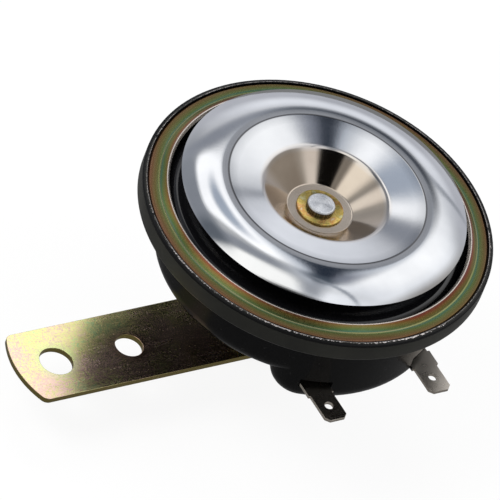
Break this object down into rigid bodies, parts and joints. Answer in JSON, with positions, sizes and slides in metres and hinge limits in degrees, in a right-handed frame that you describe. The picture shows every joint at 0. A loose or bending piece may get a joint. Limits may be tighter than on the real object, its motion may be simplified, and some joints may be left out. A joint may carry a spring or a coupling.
{
  "type": "car horn",
  "caption": "Electromagnetic disc horn for a road vehicle: pressed black can with a crimped clamp ring, chromed tone disc, blade terminals and a flat mounting bracket.",
  "frame": {"origin": "centre of the bracket's outer fixing hole, on the bracket's rear face", "axes": "+Z along the horn axis towards the tone disc; the bracket runs from the origin along +X to the horn; the blade terminals point along -Y"},
  "size_m": [0.121, 0.0918, 0.0578],
  "materials": {
    "black_paint": "gloss black stoving enamel",
    "black_diaphragm": "gloss black enamel on spring steel",
    "yellow_zinc": "iridescent yellow zinc passivate",
    "chrome": "bright chrome plate",
    "gold_zinc": "golden zinc passivate",
    "bright_steel": "turned steel, bright zinc",
    "nickel": "nickel plated strip",
    "soft_iron": "turned soft iron",
    "copper": "enamelled copper wire",
    "nylon": "natural nylon",
    "bakelite": "brown laminate board",
    "gasket_paper": "pressed gasket board",
    "tungsten": "contact metal"
  },
  "bodies": {
    "root": {"housing": "black_paint", "clamp_ring": "yellow_zinc", "lower_gasket": "gasket_paper", "upper_gasket": "gasket_paper", "diaphragm": "black_diaphragm", "pole_core": "soft_iron", "coil_bobbin": "nylon", "coil_winding": "copper", "terminal_plate": "bakelite", "terminal_left": "nickel", "terminal_right": "nickel", "terminal_rivets": "bright_steel", "foot_rivets": "bright_steel", "breaker_bridge": "yellow_zinc", "lower_insulator": "bakelite", "middle_insulator": "bakelite", "upper_insulator": "bakelite", "spring_contact_arm": "bright_steel", "fixed_contact_arm": "bright_steel", "moving_contact_point": "tungsten", "fixed_contact_point": "tungsten", "contact_peg": "bakelite", "stack_rivets": "bright_steel", "screw_bush": "bright_steel", "adjusting_screw": "bright_steel", "mounting_bracket": "yellow_zinc", "lock_nut": "gold_zinc", "flat_washer": "gold_zinc", "spring_washer": "gold_zinc", "bracket_nut": "gold_zinc"},
    "sounder": {"tone_disc": "chrome", "stem": "bright_steel", "front_washer": "gold_zinc", "spacer_washer": "bright_steel", "armature": "soft_iron"}
  },
  "joints": [
    {"name": "armature_stroke", "type": "slide", "parent": "root", "child": "sounder", "axis": [0, 0, 1], "range_m": [-0.0006, 0.0002], "stiffness_N_per_m": 8000, "deforming": ["diaphragm"]}
  ]
}
